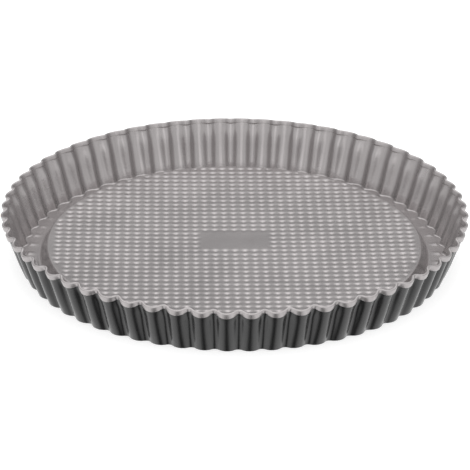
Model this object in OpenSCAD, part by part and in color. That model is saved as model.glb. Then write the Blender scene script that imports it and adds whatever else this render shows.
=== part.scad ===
// Fluted tart pan with a loose, raised base.
// The pan stands on z = 0 with its axis on Z. The origin is the centre of its foot.

/* [Pan] */
// Diameter over the rim's outward flutes
rim_d = 280; // [200:1:320]
// Diameter over the outward flutes just above the foot
foot_d = 257; // [180:0.5:300]
// Height of the rim's highest points above the foot
pan_h = 30.8; // [20:0.1:45]
// Thickness of the coated sheet, in the ring and in the base plate
sheet_t = 0.6; // [0.5:0.1:1]

/* [Flutes] */
// Number of flutes round the wall
flutes = 60; // [36:2:72]
// Depth from an outward flute to an inward ridge, at the rim
rim_flute_depth = 3.1; // [1.5:0.1:3.5]
// The same depth at the foot
foot_flute_depth = 2.3; // [1.5:0.1:3.5]
// Share of each flute's width that its inward ridge takes
ridge_share = 0.3; // [0.2:0.05:0.5]

/* [Rim] */
// Height of the folded-over hem, measured along the wall
hem_h = 3.4; // [2:0.1:6]
// How far the hem stands proud of the wall's outside
hem_proud = 0.9; // [0.7:0.1:1.5]

/* [Ledge] */
// Diameter of the round hole under the base plate
hole_d = 224; // [120:1:224]
// Height of the turned-up lip round that hole, above the foot
lip_h = 2.8; // [1.5:0.1:3]
// Radius of the bend between the ledge and the wall
foot_bend = 1.5; // [1.5:0.1:3]

/* [Base plate] */
// Diameter of the base plate over its flat edge
plate_d = 236.4; // [236:0.2:240]
// Diameter where the plate's sloping side meets its edge
slope_foot_d = 232.6; // [232:0.2:234]
// Height of the plate's top above the foot, at its edge
plate_h = 8.2; // [7.5:0.1:9]
// Steepness of the plate's sloping side, in degrees
slope_angle = 62; // [55:1:65]
// How much lower the middle of the plate's top lies than its edge
plate_dish = 1; // [0:0.1:1]
// Radius of the bends above and below the sloping side
plate_bend = 1.5; // [1:0.1:2]

/* [Hidden] */
coated_inside = "#a39d9a";
coated_outside = "#4a4a4b";
round_steps = 240;
bend_steps = 5;

// The wall's line on an outward flute: up from the foot bend, straight out to the rim.
rim_r = rim_d / 2;
foot_r = foot_d / 2;
lean = atan((rim_r - hem_proud - foot_r) / pan_h);
out = [cos(lean), -sin(lean)];
up = [sin(lean), cos(lean)];
// The ridges are pressed square to the leaning wall, so they end higher than the flutes.
ridge_lift = rim_flute_depth * sin(lean);
wall_top = [
    rim_r - hem_proud * cos(lean) - sheet_t / 3 * sin(lean),
    pan_h - ridge_lift - sheet_t * (cos(lean) + 0.6 * sin(lean))
];

// Half a flute, from the middle of the outward flute to the middle of the inward ridge.
// It is two arcs that meet on a tangent, as [share of the half width, share of the depth].
half_width = PI * (rim_r + foot_r) / 2 / flutes;
bend = 2 * atan((rim_flute_depth + foot_flute_depth) / 2 / half_width);
function flute_arc(a) = [sin(a * bend) / sin(bend), (1 - cos(a * bend)) / (1 - cos(bend))];
half_flute = [
    for (a = [0, 0.5, 1]) (1 - ridge_share) * flute_arc(a),
    for (a = [0.5, 0]) [1, 1] - ridge_share * flute_arc(a)
];
// One whole flute: out along the half, then back along its mirror image.
one_flute = [
    for (p = half_flute) p,
    for (k = [3:-1:1]) [2 - half_flute[k][0], half_flute[k][1]]
];
steps = flutes * len(one_flute);

// Point j of the fluted outline that a point [radius, height] of the wall's section sweeps.
// tilt is 1 where the flutes are square to the leaning wall and 0 where they lie flat.
function fluted_point(p, j, tilt = 1) =
    let (
        flute = floor(j / len(one_flute)),
        shape = one_flute[j % len(one_flute)],
        a = (flute + shape[0] / 2) * 360 / flutes,
        depth = foot_flute_depth + (rim_flute_depth - foot_flute_depth) * p[1] / wall_top[1],
        r = p[0] - shape[1] * depth * cos(lean)
    )
    [r * cos(a), r * sin(a), p[1] + tilt * shape[1] * depth * sin(lean)];

// A closed section of [radius, height, tilt] points, anticlockwise, swept round all the flutes.
module fluted_band(section) {
    points = [for (p = section) for (j = [0:steps - 1]) fluted_point([p[0], p[1]], j, p[2])];
    faces = [
        for (i = [0:len(section) - 1])
        for (j = [0:steps - 1])
        let (
            here = i * steps,
            next = ((i + 1) % len(section)) * steps,
            k = (j + 1) % steps
        )
        each [[here + j, next + k, here + k], [here + j, next + j, next + k]]
    ];
    polyhedron(points = points, faces = faces);
}

// Where the flat ledge ends and the bend up into the wall begins, and where the bend ends.
bend_turn = 90 - lean;
bend_span = foot_bend * tan(bend_turn / 2);
ledge_r = foot_r - bend_span;
function foot_point(a, r) = [ledge_r + r * sin(a), foot_bend - r * cos(a)];

module fluted_wall() {
    outside = [for (a = [0, 0.5, 1]) foot_point(a * bend_turn, foot_bend)];
    inside = [for (a = [1, 0.5, 0]) foot_point(a * bend_turn, foot_bend - sheet_t)];
    tilts = [0, 0.3, 0.6];
    color(coated_outside)
    fluted_band([
        for (k = [0:2]) [outside[k][0], outside[k][1], tilts[k]],
        [wall_top[0], wall_top[1], 1],
        [wall_top[0] - sheet_t * out[0], wall_top[1] - sheet_t * out[1], 1],
        for (k = [0:2]) [inside[k][0], inside[k][1], tilts[2 - k]]
    ]);
}

// The hem's section, as [proud of the wall's outside, along the wall from its top edge].
hem_section = [
    [0, sheet_t - hem_h], [hem_proud, sheet_t - hem_h], [hem_proud, sheet_t / 3],
    [hem_proud * 0.6, sheet_t], [-sheet_t * 0.6, sheet_t], [-sheet_t, 0], [0, 0]
];

module rim_hem() {
    color(coated_inside)
    fluted_band([
        for (s = hem_section)
        let (p = wall_top + s[0] * out + s[1] * up)
        [p[0], p[1], 1]
    ]);
}

// The flat ledge keeps the flutes' outline outside and has a round hole with a turned-up lip.
module bottom_ledge() {
    color(coated_inside)
    difference() {
        union() {
            linear_extrude(sheet_t)
            polygon([
                for (j = [0:steps - 1])
                let (p = fluted_point([ledge_r, 0], j, 0))
                [p[0], p[1]]
            ]);
            cylinder(h = lip_h, d = hole_d + 2 * sheet_t, $fn = round_steps);
        }
        translate([0, 0, -1])
        cylinder(h = lip_h + 2, d = hole_d, $fn = round_steps);
    }
}

// Half of the base plate's section. Both of its faces have the same bends, one sheet apart.
edge_z = 2 * sheet_t;
slope_drop = plate_h - edge_z;
bend_tangent = plate_bend * tan(slope_angle / 2);
foot_bend_r = slope_foot_d / 2;
slope_run = slope_drop / tan(slope_angle);
top_bend_r = foot_bend_r - slope_run;
// Height of the dished top at this share of its radius.
function dished(share) = plate_h - plate_dish * (1 - share * share);
// Point on the bend at the top of the slope and on the one at its foot, at turn a.
function top_bend(a, r) =
    [top_bend_r - bend_tangent + r * sin(a), plate_h - plate_bend + r * cos(a)];
function low_bend(a, r) =
    [foot_bend_r + bend_tangent - r * sin(a), edge_z + plate_bend - r * cos(a)];

module base_plate() {
    turns = [for (k = [0:bend_steps]) k / bend_steps * slope_angle];
    backwards = [for (k = [bend_steps:-1:0]) k / bend_steps * slope_angle];
    color(coated_inside)
    rotate_extrude($fn = round_steps)
    polygon([
        for (share = [0, 0.5]) [share * top_bend_r, dished(share)],
        for (a = turns) top_bend(a, plate_bend),
        for (a = backwards) low_bend(a, plate_bend),
        [plate_d / 2, edge_z],
        [plate_d / 2, edge_z - sheet_t],
        for (a = turns) low_bend(a, plate_bend + sheet_t),
        for (a = backwards) top_bend(a, plate_bend - sheet_t),
        for (share = [0.5, 0]) [share * top_bend_r, dished(share) - sheet_t]
    ]);
}

fluted_wall();
rim_hem();
bottom_ledge();
base_plate();
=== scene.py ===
import math

import bpy
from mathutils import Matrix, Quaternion, Vector


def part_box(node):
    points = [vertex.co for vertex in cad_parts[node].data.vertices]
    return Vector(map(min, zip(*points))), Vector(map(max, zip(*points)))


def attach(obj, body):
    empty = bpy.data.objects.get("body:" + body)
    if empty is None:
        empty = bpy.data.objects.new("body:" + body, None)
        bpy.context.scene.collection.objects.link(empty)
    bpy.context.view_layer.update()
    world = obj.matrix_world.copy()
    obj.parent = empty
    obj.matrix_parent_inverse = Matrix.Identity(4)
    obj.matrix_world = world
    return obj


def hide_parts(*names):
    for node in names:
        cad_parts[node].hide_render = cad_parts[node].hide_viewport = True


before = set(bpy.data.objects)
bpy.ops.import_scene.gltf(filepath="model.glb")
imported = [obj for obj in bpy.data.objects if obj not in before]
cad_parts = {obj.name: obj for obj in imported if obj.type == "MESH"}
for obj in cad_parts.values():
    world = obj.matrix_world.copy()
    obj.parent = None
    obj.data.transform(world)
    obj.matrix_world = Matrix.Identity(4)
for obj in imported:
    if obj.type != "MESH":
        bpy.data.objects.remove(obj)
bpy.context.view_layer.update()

# ---------------------------------------------------------------- Fluted wall
# The ring's wall is thin steel sheet, coated graphite outside and champagne inside before it is
# pressed. The press gives it round flutes with narrow ridges between them, on a wall that leans
# out. Its top edge is folded over as the hem, and its foot turns in to become the ledge.
sheet = 0.0006
flutes = 60
rim_flute_depth = 0.0031
foot_flute_depth = 0.0023
ridge_share = 0.3
columns = 20
foot_r = 0.1285
foot_bend = 0.0015
hem_proud = 0.0009
flute_turn = 2 * math.pi / flutes
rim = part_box("rim_hem")[1]
ledge_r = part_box("bottom_ledge")[1].x
lean = math.atan((rim.x - hem_proud - foot_r) / rim.z)

# The wall's top is set this far in and down, so that the folded hem keeps to the rim's size.
edge_in = sheet / 3
edge_down = sheet * 0.6


def on_wall(proud, along):
    """The (radius, height) so far proud of the wall's outside and along it from its top."""
    top_r = rim.x - hem_proud * math.cos(lean) - edge_in * math.sin(lean)
    top_z = rim.z - (rim_flute_depth + edge_down) * math.sin(lean) - sheet * math.cos(lean)
    return (
        top_r + proud * math.cos(lean) + along * math.sin(lean),
        top_z - proud * math.sin(lean) + along * math.cos(lean),
    )


def arc(centre, radius, start, end, steps):
    """Places round an arc. An angle of 0 points outwards and a quarter turn points up."""
    turns = [start + (end - start) * k / steps for k in range(steps + 1)]
    return [(centre[0] + radius * math.cos(a), centre[1] + radius * math.sin(a)) for a in turns]


def draw_section(name, places):
    """Draws a line through (radius, height) places from one vertex, and stays in edit mode."""
    bpy.ops.object.select_all(action="DESELECT")
    bpy.ops.mesh.primitive_plane_add(size=sheet)
    piece = bpy.context.object
    piece.name = piece.data.name = name
    bpy.ops.object.mode_set(mode="EDIT")
    bpy.ops.mesh.select_mode(type="VERT")
    bpy.ops.mesh.merge(type="CENTER")
    bpy.ops.transform.translate(value=(places[0][0], 0, places[0][1]))
    for here, there in zip(places, places[1:]):
        step = (there[0] - here[0], 0, there[1] - here[1])
        bpy.ops.mesh.extrude_region_move(TRANSFORM_OT_translate={"value": step})
    bpy.ops.mesh.select_all(action="SELECT")
    return piece


def select_where(piece, test):
    """Selects in edit mode the vertices that pass the test."""
    bpy.ops.mesh.select_all(action="DESELECT")
    bpy.ops.object.mode_set(mode="OBJECT")
    for vertex in piece.data.vertices:
        vertex.select = test(vertex)
    bpy.ops.object.mode_set(mode="EDIT")


def flute_dip(column):
    """Share of the flute depth that a column lies in from the crest, by two arcs on a tangent."""
    share = abs(1 - abs(2 * column / columns - 1))
    bend = 2 * math.atan((rim_flute_depth + foot_flute_depth) / (flute_turn * foot_r))
    if share <= 1 - ridge_share:
        turn = math.asin(share * math.sin(bend) / (1 - ridge_share))
        return (1 - ridge_share) * (1 - math.cos(turn)) / (1 - math.cos(bend))
    turn = math.asin((1 - share) * math.sin(bend) / ridge_share)
    return 1 - ridge_share * (1 - math.cos(turn)) / (1 - math.cos(bend))


def flute_face(column):
    """How far a column's face is turned from straight out, in radians."""
    step = flute_turn * foot_r / columns
    fall = (flute_dip(column + 0.5) - flute_dip(column - 0.5)) / step
    return math.atan(fall * (rim_flute_depth + foot_flute_depth) / 2)


def press_one_flute(piece, places, depths, lifts, standoffs=None):
    """Spins the drawn line through one flute's width and presses its columns in and up.

    A row with a standoff lies that far off the wall, square to the flute's own face.
    """
    bpy.ops.mesh.spin(steps=columns, angle=flute_turn, center=(0, 0, 0), axis=(0, 0, -1))
    bpy.ops.object.mode_set(mode="OBJECT")
    pressed = {}
    for vertex in piece.data.vertices:
        column = round(math.atan2(vertex.co.y, vertex.co.x) / flute_turn * columns)
        here = (math.hypot(vertex.co.x, vertex.co.y), vertex.co.z)
        row = min(range(len(places)), key=lambda k: math.dist(places[k], here))
        off_wall = standoffs[row] if standoffs else 0
        press = (column, depths[row], lifts[row](column), off_wall)
        pressed.setdefault(press, set()).add(vertex.index)
    bpy.ops.object.mode_set(mode="EDIT")
    for (column, depth, lift, off_wall), chosen in pressed.items():
        turn = column / columns * flute_turn
        face = flute_face(column)
        dip = depth * flute_dip(column) + off_wall * (1 - math.cos(face)) * math.cos(lean)
        lift += off_wall * (1 - math.cos(face)) * math.sin(lean)
        round_ring = off_wall * math.sin(face)
        select_where(piece, lambda vertex: vertex.index in chosen)
        step = (
            -dip * math.cos(turn) - round_ring * math.sin(turn),
            -dip * math.sin(turn) + round_ring * math.cos(turn),
            lift,
        )
        bpy.ops.transform.translate(value=step)


def copy_round(piece):
    """Copies one flute round the whole ring, merges the joins and points the faces outwards."""
    bpy.ops.mesh.select_all(action="SELECT")
    bpy.ops.mesh.spin(
        steps=flutes, dupli=True, angle=2 * math.pi, center=(0, 0, 0), axis=(0, 0, 1)
    )
    bpy.ops.mesh.select_all(action="SELECT")
    bpy.ops.mesh.remove_doubles(threshold=sheet / 50)
    bpy.ops.mesh.normals_make_consistent(inside=False)
    bpy.ops.object.mode_set(mode="OBJECT")


def apply_modifier(piece, kind, **settings):
    """Adds one modifier with these settings and applies it."""
    modifier = piece.modifiers.new(kind.lower(), kind)
    for name, value in settings.items():
        setattr(modifier, name, value)
    bpy.context.view_layer.objects.active = piece
    bpy.ops.object.modifier_apply(modifier=modifier.name)


def new_group(name, inputs, outputs):
    """A shader node group with named float inputs and named outputs."""
    group = bpy.data.node_groups.new(name, "ShaderNodeTree")
    for label in inputs:
        group.interface.new_socket(label, in_out="INPUT", socket_type="NodeSocketFloat")
    for label, kind in outputs.items():
        group.interface.new_socket(label, in_out="OUTPUT", socket_type="NodeSocket" + kind)
    return group


def add_node(tree, kind, inputs=(), **settings):
    """Adds a node, sets its properties, and links or sets its inputs from (socket, value) pairs."""
    node = tree.nodes.new("ShaderNode" + kind)
    for name, value in settings.items():
        setattr(node, name, value)
    for socket, value in dict(inputs).items():
        if isinstance(value, bpy.types.NodeSocket):
            tree.links.new(value, node.inputs[socket])
        else:
            node.inputs[socket].default_value = value
    return node


def add_ramp(tree, value, start, end, first=0.0, last=1.0, **settings):
    """Runs from the first level to the last one while the value goes from start to end."""
    return add_node(
        tree,
        "MapRange",
        {"Value": value, "From Min": start, "From Max": end, "To Min": first, "To Max": last},
        **settings,
    )


def build_coating_grain():
    """Sprayed non-stick coating: fine metal flake, soft clouding and a slight orange peel."""
    peel_to_flake = 0.4
    tree = new_group(
        "coating_grain",
        ["Flake Size", "Cloud Size"],
        {"Flake": "Float", "Cloud": "Float", "Peel": "Float"},
    )
    given = tree.nodes.new("NodeGroupInput")
    place = add_node(tree, "TexCoord").outputs["Object"]
    flake_scale = add_node(
        tree, "Math", {0: 1.0, 1: given.outputs["Flake Size"]}, operation="DIVIDE"
    )
    cloud_scale = add_node(
        tree, "Math", {0: 1.0, 1: given.outputs["Cloud Size"]}, operation="DIVIDE"
    )
    peel_scale = add_node(
        tree, "Math", {0: flake_scale.outputs[0], 1: peel_to_flake}, operation="MULTIPLY"
    )
    flake = add_node(
        tree, "TexNoise", {"Vector": place, "Scale": flake_scale.outputs[0], "Detail": 2.0}
    )
    cloud = add_node(
        tree, "TexNoise", {"Vector": place, "Scale": cloud_scale.outputs[0], "Detail": 3.0}
    )
    peel = add_node(
        tree, "TexNoise", {"Vector": place, "Scale": peel_scale.outputs[0], "Detail": 1.0}
    )
    given_back = tree.nodes.new("NodeGroupOutput")
    tree.links.new(flake.outputs["Fac"], given_back.inputs["Flake"])
    tree.links.new(cloud.outputs["Fac"], given_back.inputs["Cloud"])
    tree.links.new(peel.outputs["Fac"], given_back.inputs["Peel"])
    return tree


coating_grain = build_coating_grain()


def build_draw_lines():
    """Fine lines up the wall, left where the sheet slid over the press."""
    squash = 0.03
    tree = new_group("draw_lines", ["Line Width"], {"Lines": "Float"})
    given = tree.nodes.new("NodeGroupInput")
    place = add_node(tree, "SeparateXYZ", {0: add_node(tree, "TexCoord").outputs["Object"]})
    turn = add_node(
        tree, "Math", {0: place.outputs["Y"], 1: place.outputs["X"]}, operation="ARCTAN2"
    )
    round_wall = add_node(tree, "Math", {0: turn.outputs[0], 1: foot_r}, operation="MULTIPLY")
    up_wall = add_node(tree, "Math", {0: place.outputs["Z"], 1: squash}, operation="MULTIPLY")
    flat = add_node(tree, "CombineXYZ", {"X": round_wall.outputs[0], "Z": up_wall.outputs[0]})
    scale = add_node(tree, "Math", {0: 1.0, 1: given.outputs["Line Width"]}, operation="DIVIDE")
    lines = add_node(
        tree, "TexNoise", {"Vector": flat.outputs[0], "Scale": scale.outputs[0], "Detail": 2.0}
    )
    given_back = tree.nodes.new("NodeGroupOutput")
    tree.links.new(lines.outputs["Fac"], given_back.inputs["Lines"])
    return tree


draw_lines = build_draw_lines()


def build_coating(name, dark, light, metal, roughness, peel, flake_size=0.0004, drawn=0.0):
    """A coating whose colour runs from dark to light with its flake, and whose gloss clouds.

    The share drawn says how strongly the press has left its lines in it.
    """
    cloud_size = 0.03
    line_width = 0.0016
    flake_share = 0.6
    gloss_change = 0.03
    peel_height = 0.0001
    material = bpy.data.materials.new(name)
    material.use_nodes = True
    tree = material.node_tree
    shader = tree.nodes["Principled BSDF"]
    grain = tree.nodes.new("ShaderNodeGroup")
    grain.node_tree = coating_grain
    grain.inputs["Flake Size"].default_value = flake_size
    grain.inputs["Cloud Size"].default_value = cloud_size
    mixed = add_node(
        tree,
        "Math",
        {0: grain.outputs["Flake"], 1: flake_share, 2: grain.outputs["Cloud"]},
        operation="MULTIPLY_ADD",
    )
    lines = tree.nodes.new("ShaderNodeGroup")
    lines.node_tree = draw_lines
    lines.inputs["Line Width"].default_value = line_width
    streaked = add_node(
        tree,
        "Math",
        {0: lines.outputs["Lines"], 1: drawn, 2: mixed.outputs[0]},
        operation="MULTIPLY_ADD",
    )
    tint = add_ramp(
        tree, streaked.outputs[0], start=0.45 + drawn * 0.25, end=1.15 + drawn * 0.75
    )
    colour = add_node(
        tree, "Mix", {"Factor": tint.outputs[0], 6: (*dark, 1), 7: (*light, 1)}, data_type="RGBA"
    )
    gloss = add_ramp(
        tree,
        grain.outputs["Cloud"],
        start=0.3,
        end=0.7,
        first=roughness - gloss_change,
        last=roughness + gloss_change,
    )
    relief = add_node(
        tree,
        "Math",
        {0: lines.outputs["Lines"], 1: drawn, 2: grain.outputs["Peel"]},
        operation="MULTIPLY_ADD",
    )
    bump = add_node(
        tree, "Bump", {"Height": relief.outputs[0], "Strength": peel, "Distance": peel_height}
    )
    shader.inputs["Metallic"].default_value = metal
    tree.links.new(colour.outputs[2], shader.inputs["Base Color"])
    tree.links.new(gloss.outputs[0], shader.inputs["Roughness"])
    tree.links.new(bump.outputs["Normal"], shader.inputs["Normal"])
    return material


drawn_champagne = build_coating(
    "drawn_champagne_coating",
    dark=(0.32, 0.302, 0.302),
    light=(0.45, 0.426, 0.426),
    metal=0.8,
    roughness=0.25,
    peel=0.35,
    drawn=1.0,
)
graphite = build_coating(
    "graphite_coating",
    dark=(0.007, 0.007, 0.0072),
    light=(0.020, 0.020, 0.0206),
    metal=0.0,
    roughness=0.26,
    peel=0.3,
    drawn=1.0,
)

# The wall starts inside the hem. For each distance along it from the top, this is how deep its
# ridges are against the plain flutes: they draw back at the hem and swell a little below it.
ridge_swell = [
    (-0.0018, 0.86), (-0.0030, 0.86), (-0.0042, 0.88), (-0.0056, 0.94), (-0.0070, 1.02),
    (-0.0086, 1.12), (-0.0105, 1.16), (-0.0150, 1.15), (-0.0210, 1.10),
]


def depth_at(height):
    """Depth from an outward flute to an inward ridge at this height, before any swelling."""
    return foot_flute_depth + (rim_flute_depth - foot_flute_depth) * height / rim.z


def lift_with(depth, rise=0):
    """How a row's columns rise as the flutes are pressed square to the leaning wall."""
    return lambda column: (depth * math.sin(lean) + rise) * flute_dip(column)


wall_places = [on_wall(0, along) for along, swell in ridge_swell]
depths = [swell * depth_at(on_wall(0, along)[1]) for along, swell in ridge_swell]
wall_lifts = [lift_with(depth) for depth in depths]
bend_lifts = (0.6, 0.5, 0.4, 0.3, 0.2, 0.1, 0, 0)
bend_steps = len(bend_lifts) - 2
bend_places = arc((ledge_r, foot_bend), foot_bend, -lean, -math.pi / 2, bend_steps)
bend_places.append((ledge_r - sheet, 0))
wall_places += bend_places
depths += [depth_at(height) for radius, height in bend_places]
wall_lifts += [lift_with(share * foot_flute_depth) for share in bend_lifts]
wall_depths = [depth * math.cos(lean) for depth in depths]
wall = draw_section("fluted_wall_sheet", wall_places)
press_one_flute(wall, wall_places, wall_depths, wall_lifts)
copy_round(wall)
for coat in (graphite, drawn_champagne):
    wall.data.materials.append(coat)
apply_modifier(
    wall, "SOLIDIFY", thickness=sheet, offset=-1, use_even_offset=True, material_offset=1
)
bpy.ops.object.shade_smooth_by_angle(angle=math.radians(40))
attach(wall, "ring")
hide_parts("fluted_wall")

# ---------------------------------------------------------------- Rim hem
# The wall's top edge is folded over outwards and pressed flat, so the champagne face shows outside
# too. The band is proud of the wall outside, and reaches lower on the flutes than on the ridges.
# Inside it is flush with the flutes and stands out over the ridges, where the wall draws back.
hem_h = 0.0034
hem_drop = 0.0005
hem_rise = 0.0011
hem_inside = -sheet - 0.00003
hem_tuck = 0.00001
hem_round = (hem_proud - hem_inside - hem_tuck) / 2
hem_corner = 0.00028
hem_slope_h = 0.0008
hem_slope_in = 0.6 * hem_slope_h
hem_hold = 0.1 * hem_slope_h
hem_low = sheet - hem_h
hem_mid = hem_proud - hem_round
hem_outer_mid = hem_low + hem_h * 0.45
round_top = arc((hem_mid, sheet - hem_round), hem_round, 0, math.pi, 8)
outer_edge = arc(
    (hem_proud - hem_corner, hem_low - hem_drop + hem_corner), hem_corner, -math.pi / 2, 0, 3
)
hem_section = (
    outer_edge
    + [(hem_proud, hem_outer_mid)]
    + round_top
    + [(hem_inside, hem_low + hem_slope_h + hem_hold), (hem_inside, hem_low + hem_slope_h)]
    + [(hem_inside + hem_slope_in, hem_low)]
)
hem_places = [on_wall(proud, along) for proud, along in hem_section]
hem_places.append(hem_places[0])
hem = draw_section("folded_rim_hem", hem_places)
hem_depths = [depth_at(height) for radius, height in hem_places]
hem_lifts = [
    lift_with(depth, hem_rise if row < len(outer_edge) else 0)
    for row, depth in enumerate(hem_depths)
]
hem_standoffs = [proud for proud, along in hem_section] + [hem_section[0][0]]
hem_inwards = [depth * math.cos(lean) for depth in hem_depths]
press_one_flute(hem, hem_places, hem_inwards, hem_lifts, hem_standoffs)
copy_round(hem)
folded_champagne = build_coating(
    "folded_champagne_coating",
    dark=(0.33, 0.311, 0.311),
    light=(0.45, 0.426, 0.426),
    metal=0.8,
    roughness=0.36,
    peel=0.35,
    drawn=1.0,
)
hem.data.materials.append(folded_champagne)
bpy.ops.object.shade_smooth_by_angle(angle=math.radians(55))
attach(hem, "ring")
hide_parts("rim_hem")

# ---------------------------------------------------------------- Bottom ledge
# The wall's foot turns in as a flat ledge that carries the loose base. The wall's ridges run out
# over it as low pleats. Its round hole has a turned-up lip that keeps the base in the middle.
lip_top = 0.0028
lip_bend = 0.0009
hole_r = 0.112
pleat_h = 0.0004
ripple_share = 0.2
ripples = 6
ledge_rows = (0, 0.0012, 0.0028, 0.0045, 0.0062, 0.0078)
pleat_shares = (0, 0.8, 1, 0.7, 0.3, 0)
ledge_places = [(ledge_r - sheet - inwards, 0) for inwards in ledge_rows]
ledge_places += arc((hole_r + lip_bend, lip_bend), lip_bend, -math.pi / 2, -math.pi, 5)
ledge_places.append((hole_r, lip_top))
ledge_fade = [(1 - row / (len(ledge_rows) - 1)) ** 1.5 for row in range(len(ledge_rows))]
ledge_depths = [foot_flute_depth * math.cos(lean) * share for share in ledge_fade]
ledge_depths += [0] * (len(ledge_places) - len(ledge_rows))


def pleat_with(share):
    """How a ledge row's columns rise: a pleat at each ridge and low ripples between them."""
    return lambda column: share * pleat_h * (
        flute_dip(column) ** 3 + ripple_share * math.cos(ripples * math.pi * column / columns) ** 2
    )


ledge_lifts = [pleat_with(share) for share in pleat_shares]
ledge_lifts += [pleat_with(0)] * (len(ledge_places) - len(ledge_rows))
ledge = draw_section("bottom_ledge_sheet", ledge_places)
press_one_flute(ledge, ledge_places, ledge_depths, ledge_lifts)
copy_round(ledge)


def face_flat_part(piece, up):
    """Turns the whole sheet over if its first flat face doesn't point the way asked."""
    flat = next(face for face in piece.data.polygons if abs(face.normal.z) > 0.9)
    if (flat.normal.z > 0) != up:
        bpy.ops.object.mode_set(mode="EDIT")
        bpy.ops.mesh.select_all(action="SELECT")
        bpy.ops.mesh.flip_normals()
        bpy.ops.object.mode_set(mode="OBJECT")


face_flat_part(ledge, up=False)
champagne = build_coating(
    "champagne_coating",
    dark=(0.335, 0.316, 0.316),
    light=(0.425, 0.402, 0.402),
    metal=0.8,
    roughness=0.24,
    peel=0.25,
)
for coat in (graphite, champagne):
    ledge.data.materials.append(coat)
apply_modifier(
    ledge, "SOLIDIFY", thickness=sheet, offset=-1, use_even_offset=True, material_offset=1
)
bpy.ops.object.shade_smooth_by_angle(angle=math.radians(40))
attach(ledge, "ring")
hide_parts("bottom_ledge")

# ---------------------------------------------------------------- Base plate
# The loose base is a second sheet, pressed into a flat raised table with sloping sides and a narrow
# flat edge that rests on the ledge. The table sags a little and is stamped with a square grid of
# small round dimples, which leave a smooth field in the middle.
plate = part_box("base_plate")[1]
plate_r = plate.x
table_z = plate.z
edge_z = 2 * sheet
table_dish = 0.001
base_turn = math.radians(3.1)
plate_bend = 0.0015
slope = math.radians(62)
slope_foot_r = 0.1163
slope_top_r = slope_foot_r - (table_z - edge_z) / math.tan(slope)
tangent = plate_bend * math.tan(slope / 2)
side_places = arc(
    (slope_top_r - tangent, table_z - plate_bend), plate_bend, math.pi / 2, math.pi / 2 - slope, 6
)
side_places += arc(
    (slope_foot_r + tangent, edge_z + plate_bend),
    plate_bend,
    -math.pi / 2 - slope,
    -math.pi / 2,
    6,
)
side_places.append((plate_r, edge_z))

dimple_pitch = 0.00589
dimple_cells = 6
dimple_rows = 39
dimple_r = 0.0026
dimple_depth = 0.00076
dimple_floor = 0.85
dimpled_r = 0.1112
grid_middle = (0.00025, 0.001)
smooth_columns = range(-3, 4)
smooth_rows = range(-1, 3)
cell = dimple_pitch / dimple_cells
table_r = side_places[0][0]
rim_steps = 240
bpy.ops.object.select_all(action="DESELECT")
bpy.ops.mesh.primitive_circle_add(vertices=rim_steps, radius=table_r)
base = bpy.context.object
base.name = base.data.name = "raised_base_plate"
bpy.ops.object.mode_set(mode="EDIT")
bpy.ops.transform.translate(value=(0, 0, table_z))
bpy.ops.mesh.primitive_grid_add(
    x_subdivisions=dimple_rows * dimple_cells,
    y_subdivisions=dimple_rows * dimple_cells,
    size=dimple_rows * dimple_pitch,
    location=(*grid_middle, table_z),
)


def from_dimple(vertex):
    """How far a vertex is from the middle of its dimple, or infinity where the grid has none."""
    x, y = vertex.co.x - grid_middle[0], vertex.co.y - grid_middle[1]
    column, row = math.floor(x / dimple_pitch + 0.5), math.floor(y / dimple_pitch + 0.5)
    middle = (column * dimple_pitch + grid_middle[0], row * dimple_pitch + grid_middle[1])
    in_field = column in smooth_columns and row in smooth_rows
    if in_field or math.hypot(*middle) > dimpled_r:
        return math.inf
    return math.dist(vertex.co.xy, middle)


steps_out = {
    math.hypot(across, along) * cell
    for across in range(dimple_cells // 2)
    for along in range(dimple_cells // 2)
    if math.hypot(across, along) * cell < dimple_r
}
for step_out in sorted(steps_out):
    select_where(
        base,
        lambda vertex: vertex.index >= rim_steps
        and abs(from_dimple(vertex) - step_out) < cell / 20,
    )
    drop = dimple_depth * min(1 - step_out / dimple_r, dimple_floor)
    bpy.ops.transform.translate(value=(0, 0, -drop))

# The grid is trimmed to whole cells inside the table's edge, and the gap to that edge is filled.
trimmed_r = table_r - 2 * sheet
select_where(
    base,
    lambda vertex: vertex.index >= rim_steps
    and math.hypot(vertex.co.x, vertex.co.y) > trimmed_r,
)
bpy.ops.mesh.delete(type="VERT")
select_where(base, lambda vertex: math.dist(vertex.co.xy, grid_middle) < cell / 2)
bpy.ops.transform.translate(
    value=(0, 0, -table_dish),
    use_proportional_edit=True,
    proportional_edit_falloff="INVERSE_SQUARE",
    proportional_size=trimmed_r,
)
bpy.ops.mesh.select_all(action="SELECT")
bpy.ops.mesh.select_non_manifold(
    extend=False, use_multi_face=False, use_non_contiguous=False, use_verts=False
)
bpy.ops.mesh.fill(use_beauty=True)

# The sides are drawn down and out from the table's edge, ring by ring.
bpy.ops.mesh.select_non_manifold(
    extend=False, use_wire=False, use_multi_face=False, use_non_contiguous=False, use_verts=False
)
for here, there in zip(side_places, side_places[1:]):
    bpy.ops.mesh.extrude_region_move(
        TRANSFORM_OT_translate={"value": (0, 0, there[1] - here[1])}
    )
    wider = there[0] / here[0]
    bpy.ops.transform.resize(value=(wider, wider, 1), center_override=(0, 0, there[1]))
bpy.ops.mesh.select_all(action="SELECT")
bpy.ops.mesh.normals_make_consistent(inside=False)
bpy.ops.transform.rotate(value=-base_turn, orient_axis="Z", center_override=(0, 0, 0))
bpy.ops.object.mode_set(mode="OBJECT")
face_flat_part(base, up=True)
cut_steel = build_coating(
    "cut_sheet_edge",
    dark=(0.1, 0.1, 0.1),
    light=(0.2, 0.2, 0.2),
    metal=0.8,
    roughness=0.4,
    peel=0.3,
    flake_size=0.0003,
)
for coat in (champagne, graphite, cut_steel):
    base.data.materials.append(coat)
apply_modifier(
    base, "SOLIDIFY", thickness=sheet, offset=-1, material_offset=1, material_offset_rim=2
)
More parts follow.
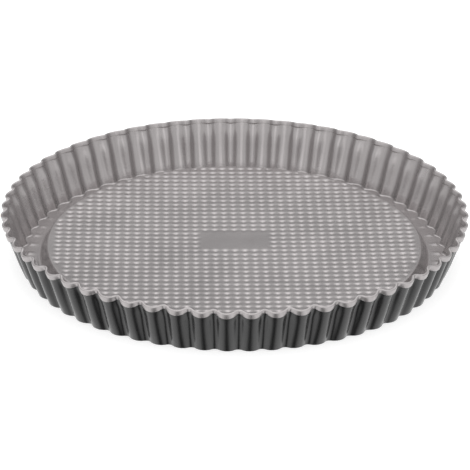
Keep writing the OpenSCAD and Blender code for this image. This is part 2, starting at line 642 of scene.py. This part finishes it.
bpy.ops.object.shade_smooth_by_angle(angle=math.radians(50))
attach(base, "base")
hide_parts("base_plate")

# ---------------------------------------------------------------- Studio
# A plain white floor in a bright, even studio. The floor is grey to everything but the camera, and
# the gloss of the pan doesn't see it but the studio round it, as over a floor of lit glass.
floor_size = 8
floor_glow = 0.68
bpy.ops.object.select_all(action="DESELECT")
bpy.ops.mesh.primitive_plane_add(size=floor_size)
floor = bpy.context.object
floor.name = "studio_floor"
floor.visible_glossy = False
pale = bpy.data.materials.new("pale_floor")
pale.use_nodes = True
seen = add_node(pale.node_tree, "LightPath").outputs["Is Camera Ray"]
paint = pale.node_tree.nodes["Principled BSDF"]
paint.inputs["Roughness"].default_value = 0.9
paint.inputs["Specular IOR Level"].default_value = 0.0
paint.inputs["Emission Color"].default_value = (1, 1, 1, 1)
white = add_node(
    pale.node_tree,
    "Mix",
    {"Factor": seen, 6: (0.25, 0.25, 0.25, 1), 7: (0.5, 0.5, 0.5, 1)},
    data_type="RGBA",
)
glow = add_node(pale.node_tree, "Math", {0: seen, 1: floor_glow}, operation="MULTIPLY")
pale.node_tree.links.new(white.outputs[2], paint.inputs["Base Color"])
pale.node_tree.links.new(glow.outputs[0], paint.inputs["Emission Strength"])
floor.data.materials.append(pale)


def add_panel(name, place, size, power):
    """An area light of this (width, height), aimed at the pan."""
    panel = bpy.data.lights.new(name, "AREA")
    panel.shape = "RECTANGLE"
    panel.size, panel.size_y = size
    panel.energy = power
    light = bpy.data.objects.new(name, panel)
    light.location = place
    light.visible_camera = False
    light.rotation_euler = (-Vector(place)).to_track_quat("-Z", "Y").to_euler()
    bpy.context.scene.collection.objects.link(light)


add_panel("top_box", place=(0, 0.95, 1.6), size=(1.3, 0.6), power=2.5)
add_panel("front_box", place=(0, -2.3, 1.0), size=(1.2, 0.9), power=2.0)

# The air is white to the camera. To the pan it is bright overhead and darker at the horizon, most
# of all behind the pan. Under the floor it is bright left and right, with a dark gap between.
world = bpy.data.worlds.new("studio_air")
world.use_nodes = True
tree = world.node_tree
towards_air = add_node(tree, "SeparateXYZ", {0: add_node(tree, "TexCoord").outputs["Generated"]})
sideways = add_node(tree, "Math", {0: towards_air.outputs["X"]}, operation="ABSOLUTE")
below = add_ramp(
    tree,
    sideways.outputs[0],
    start=0.03,
    end=0.42,
    first=0.06,
    last=1.45,
    interpolation_type="SMOOTHSTEP",
)
horizon = add_ramp(
    tree,
    towards_air.outputs["Y"],
    start=-0.4,
    end=0.4,
    first=1.0,
    last=0.42,
    interpolation_type="SMOOTHSTEP",
)
above = add_ramp(
    tree,
    towards_air.outputs["Z"],
    start=0.36,
    end=0.8,
    first=horizon.outputs[0],
    last=1.5,
    interpolation_type="SMOOTHSTEP",
)
is_above = add_node(
    tree, "Math", {0: towards_air.outputs["Z"], 1: 0.0}, operation="GREATER_THAN"
)
air = add_node(
    tree,
    "Mix",
    {0: is_above.outputs[0], 2: below.outputs[0], 3: above.outputs[0]},
    data_type="FLOAT",
)
to_camera = add_node(tree, "LightPath").outputs["Is Camera Ray"]
strength = add_node(tree, "Mix", {0: to_camera, 2: air.outputs[0], 3: 1.0}, data_type="FLOAT")
tree.links.new(strength.outputs[0], tree.nodes["Background"].inputs["Strength"])
tree.nodes["Background"].inputs["Color"].default_value = (1, 1, 1, 1)
bpy.context.scene.world = world
bpy.context.scene.view_settings.view_transform = "Standard"

# The camera looks down on the pan from the front through a long lens, a little off level.
camera_turn = math.radians(1.714)
camera_rise = math.radians(25.2)
camera_roll = math.radians(0.537)
camera_away = 1.898
aim = Vector((0.00034, 0, 0.01276))
towards = Vector((
    math.sin(camera_turn) * math.cos(camera_rise),
    -math.cos(camera_turn) * math.cos(camera_rise),
    math.sin(camera_rise),
))
lens = bpy.data.cameras.new("camera")
lens.lens = 241.9
lens.sensor_width = 36
lens.clip_end = 20
camera = bpy.data.objects.new("camera", lens)
camera.location = aim + camera_away * towards
look = (-towards).to_track_quat("-Z", "Y") @ Quaternion((0, 0, 1), camera_roll)
camera.rotation_euler = look.to_euler()
bpy.context.scene.collection.objects.link(camera)
bpy.context.scene.camera = camera
